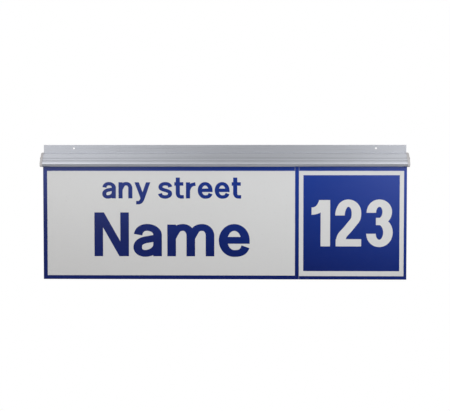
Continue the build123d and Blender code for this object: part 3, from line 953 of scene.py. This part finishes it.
class SIGN_OT_lamps(StreetSignStep, bpy.types.Operator):
    """Finish the lamp boards and cover, and add the leds' phosphor windows and chip resistors"""

    bl_idname = "streetsign.lamps"
    bl_label = "Lamps"

    led_length = 3.5 * MM
    led_count = 25

    # Half sizes of a phosphor window, a chip resistor and the solder at its end, and their rounded edges
    window_reach = (1.3, 1.05, 0.06)
    chip_reach = (1.6, 0.8, 0.3)
    solder_reach = (0.4, 0.85, 0.33)
    window_edge = 0.05 * MM
    chip_edge = 0.08 * MM
    solder_edge = 0.15 * MM

    # Gaps between leds that hold a chip resistor: the first one, counted from 0, and the step to the next
    first_gap = 2
    gap_step = 5

    def execute(self, context):
        dress(board_mask(BOARD_WHITE), "led_board_left", "led_board_right")
        dress(moulded_plastic("led_body", LED_WHITE, 0.35, 4000, 0.01 * MM), "leds_left", "leds_right")
        dress(clear_cover(CLEAR), "lamp_cover")
        glow = phosphor(PHOSPHOR_YELLOW)
        chip = moulded_plastic("chip_body", CHIP_BLACK, 0.4, 4000, 0.01 * MM)
        solder = turned_metal("solder", SOLDER, 0.3)
        for side in SIDES:
            settle(self.windows(side), glow, "led_body")
            resistors, ends = self.resistors(side)
            settle(resistors, chip, "led_body")
            settle(ends, solder, "screw_steel")
        return {"FINISHED"}

    def places(self, side):
        """X places of one board's leds."""
        low, high, _ = node_box(f"leds_{side}")
        pitch = (high.x - low.x - self.led_length) / (self.led_count - 1)
        return [low.x + self.led_length / 2 + i * pitch for i in range(self.led_count)]

    def windows(self, side):
        """Round-cornered phosphor window under each led."""
        low, _, middle = node_box(f"leds_{side}")
        bm = bmesh.new()
        reach = Vector(self.window_reach) * MM
        for x in self.places(side):
            centre = Vector((x, middle.y, low.z))
            block(bm, centre - reach, centre + reach, self.window_edge)
        return piece_of(bm, f"led_windows_{side}", BLOCK_SMOOTH)

    def resistors(self, side):
        """Chip resistors midway between leds, one to every fifth gap, and the solder at their ends."""
        low, _, middle = node_box(f"led_board_{side}")
        places = self.places(side)
        chips, ends = bmesh.new(), bmesh.new()
        reach = Vector(self.chip_reach) * MM
        foot = Vector(self.solder_reach) * MM
        for first, second in list(zip(places, places[1:]))[self.first_gap :: self.gap_step]:
            centre = Vector(((first + second) / 2, middle.y, low.z - foot.z))
            block(chips, centre - reach, centre + reach, self.chip_edge)
            for end in SIDES.values():
                tip = centre + Vector((end * reach.x, 0, 0))
                block(ends, tip - foot, tip + foot, self.solder_edge)
        resistors = piece_of(chips, f"chip_resistors_{side}", BLOCK_SMOOTH)
        return resistors, piece_of(ends, f"chip_solder_{side}", BLOCK_SMOOTH)


class SIGN_OT_wiring(StreetSignStep, bpy.types.Operator):
    """Finish the driver, the terminal block, the leads and the grommet"""

    bl_idname = "streetsign.wiring"
    bl_label = "Wiring"

    def execute(self, context):
        dress(moulded_plastic("driver_case", DRIVER_GREY, 0.4), "led_driver")
        dress(moulded_plastic("terminal_plastic", TERMINAL_IVORY, 0.36), "terminal_block")
        dress(turned_metal("terminal_brass", BRASS, 0.35), "terminal_screws")
        dress(rubber("grommet_rubber", BLACK_RUBBER), "cable_grommet")
        jacket = moulded_plastic("lead_jacket", LEAD_GREY, 0.45, 2600, 0.02 * MM)
        dress(jacket, "supply_leads", "board_lead_left", "board_lead_right")
        return {"FINISHED"}


class SIGN_OT_stage(StreetSignStep, bpy.types.Operator):
    """Set up the floor, the room's light, two soft lamps and the camera"""

    bl_idname = "streetsign.stage"
    bl_label = "Stage"

    floor_half = 3.0
    floor_middle = -1.7
    lamp_size = 1.0
    lamp_place = (0.85, -1.4)
    sensor_width = 36.0
    focal_length = 72.447
    camera_shift = -0.0251
    camera_place = (0.04294, -2.5, -0.0415)
    camera_turn = (math.pi / 2 - 0.034, 0.0, 0.01667)

    # Directions over which the room's light changes: left to right as X, front to behind as Y, low to
    # high as Z, each from -1 to 1
    room_rise = (-0.7, 0.1)
    floor_rise = (-0.7, -0.25)
    wall_rise = (-0.13, 0.17)
    ceiling_rise = (0.2, 0.8)
    left_edge = (-0.15, -0.03)
    right_edge = (0.08, 0.21)
    behind_edge = (-0.1, 0.3)

    def execute(self, context):
        stage = context.scene.sign_stage
        self.floor(stage)
        self.room(context.scene, stage)
        for name, side in SIDES.items():
            power = stage.right_power if side > 0 else stage.left_power
            self.lamp(f"{name}_lamp", side, stage.lamp_height, power)
        self.camera(context.scene)
        context.scene.view_settings.view_transform = "Standard"
        return {"FINISHED"}

    def floor(self, stage):
        """Pale matt floor far under the sign."""
        bm = bmesh.new()
        bmesh.ops.create_grid(bm, x_segments=4, y_segments=4, size=self.floor_half)
        bmesh.ops.translate(bm, vec=(0, self.floor_middle, stage.floor_height), verts=bm.verts)
        floor = piece_of(bm, "floor")
        finish = Finish("pale_floor", Roughness=0.9)
        finish.colour(finish.mix(finish.noise(4), PALE_FLOOR, PALER_FLOOR))
        floor.data.materials.append(finish.material)

    def room(self, scene, stage):
        """White background for the camera and behind the sign, and a softer room in front of it."""
        world = bpy.data.worlds.new("studio_room")
        world.use_nodes = True
        scene.world = world
        room = Graph(world.node_tree)
        white = world.node_tree.nodes["Background"]
        white.inputs["Color"].default_value = WHITE_LIGHT
        coordinates = room.node("ShaderNodeTexCoord")
        axes = room.node("ShaderNodeSeparateXYZ")
        room.join(coordinates.outputs["Generated"], axes, "Vector")
        across, back, up = (axes.outputs[axis] for axis in "XYZ")
        path = room.node("ShaderNodeLightPath")

        soft = room.node("ShaderNodeBackground", Color=WHITE_LIGHT)
        room.join(room.ramp(up, stage.low_room, stage.room, *self.room_rise), soft, "Strength")

        sharp = room.node("ShaderNodeBackground", Color=WHITE_LIGHT)
        middle = stage.mirror_middle / 2
        below = room.ramp(up, stage.mirror_floor, stage.mirror_dark, *self.floor_rise, soft=True)
        above = room.ramp(up, 0.0, 1.0, *self.wall_rise, soft=True)
        left = room.ramp(across, stage.mirror_left, middle, *self.left_edge, soft=True)
        right = room.ramp(across, middle, stage.mirror_right, *self.right_edge, soft=True)
        ceiling = room.ramp(up, 1.0, stage.mirror_ceiling, *self.ceiling_rise, soft=True)
        lamps = room.combine("MULTIPLY", ceiling, room.combine("ADD", left, right))
        lit = room.combine("ADD", below, room.combine("MULTIPLY", above, lamps))
        room.join(lit, sharp, "Strength")

        mirrored = room.combine("MAXIMUM", path.outputs["Is Glossy Ray"], path.outputs["Is Transmission Ray"])
        behind = room.ramp(back, 0.0, 1.0, *self.behind_edge, soft=True)
        seen_behind = room.combine("MULTIPLY", mirrored, behind)
        shown = room.combine("MAXIMUM", path.outputs["Is Camera Ray"], seen_behind)
        front, all_round = room.node("ShaderNodeMixShader"), room.node("ShaderNodeMixShader")
        for mixer, factor, first, second in (
            (front, mirrored, soft.outputs[0], sharp.outputs[0]),
            (all_round, shown, front.outputs[0], white.outputs[0]),
        ):
            room.join(factor, mixer, 0)
            room.join(first, mixer, 1)
            room.join(second, mixer, 2)
        room.join(all_round.outputs[0], world.node_tree.nodes["World Output"], "Surface")

    def lamp(self, name, side, height, power):
        """Square soft lamp in front of one end, aimed at the sign. Gloss shows the room's lamp faces."""
        data = bpy.data.lights.new(name, "AREA")
        data.size = self.lamp_size
        data.energy = power
        made = bpy.data.objects.new(name, data)
        bpy.context.scene.collection.objects.link(made)
        made.location = (side * self.lamp_place[0], self.lamp_place[1], height)
        made.rotation_euler = (Vector((0, 0, height / 2)) - made.location).to_track_quat("-Z", "Y").to_euler()
        made.visible_glossy = False

    def camera(self, scene):
        """Camera where the photograph was taken from."""
        data = bpy.data.cameras.new("photo_camera")
        data.sensor_fit = "HORIZONTAL"
        data.sensor_width = self.sensor_width
        data.lens = self.focal_length
        data.shift_y = self.camera_shift
        camera = bpy.data.objects.new("photo_camera", data)
        scene.collection.objects.link(camera)
        camera.location = self.camera_place
        camera.rotation_euler = self.camera_turn
        scene.camera = camera


STEPS = (
    SIGN_OT_hood,
    SIGN_OT_ends,
    SIGN_OT_screws,
    SIGN_OT_plates,
    SIGN_OT_lettering,
    SIGN_OT_lamps,
    SIGN_OT_wiring,
    SIGN_OT_stage,
)
SETTINGS = {"sign_finishes": SignFinishes, "sign_lettering": SignLettering, "sign_stage": SignStage}


class SIGN_PT_sidebar(bpy.types.Panel):
    """The sign's settings and steps in the 3D view's sidebar"""

    bl_label = "Street Sign"
    bl_idname = "SIGN_PT_sidebar"
    bl_space_type = "VIEW_3D"
    bl_region_type = "UI"
    bl_category = "Sign"

    def draw(self, context):
        for name, group in SETTINGS.items():
            box = self.layout.box()
            for setting in group.__annotations__:
                box.prop(getattr(context.scene, name), setting)
        for step in STEPS:
            self.layout.operator(step.bl_idname)


def register():
    """Make the sign's settings, steps and panel known to Blender."""
    for group in (*SETTINGS.values(), *STEPS, SIGN_PT_sidebar):
        bpy.utils.register_class(group)
    for name, group in SETTINGS.items():
        setattr(bpy.types.Scene, name, PointerProperty(type=group))


def unregister():
    """Take the settings, steps and panel out of Blender again."""
    for name in SETTINGS:
        delattr(bpy.types.Scene, name)
    for group in (SIGN_PT_sidebar, *reversed(STEPS), *reversed(SETTINGS.values())):
        bpy.utils.unregister_class(group)


def main():
    """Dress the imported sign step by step."""
    register()
    for step in STEPS:
        area, name = step.bl_idname.split(".")
        getattr(getattr(bpy.ops, area), name)()


if __name__ == "__main__":
    main()
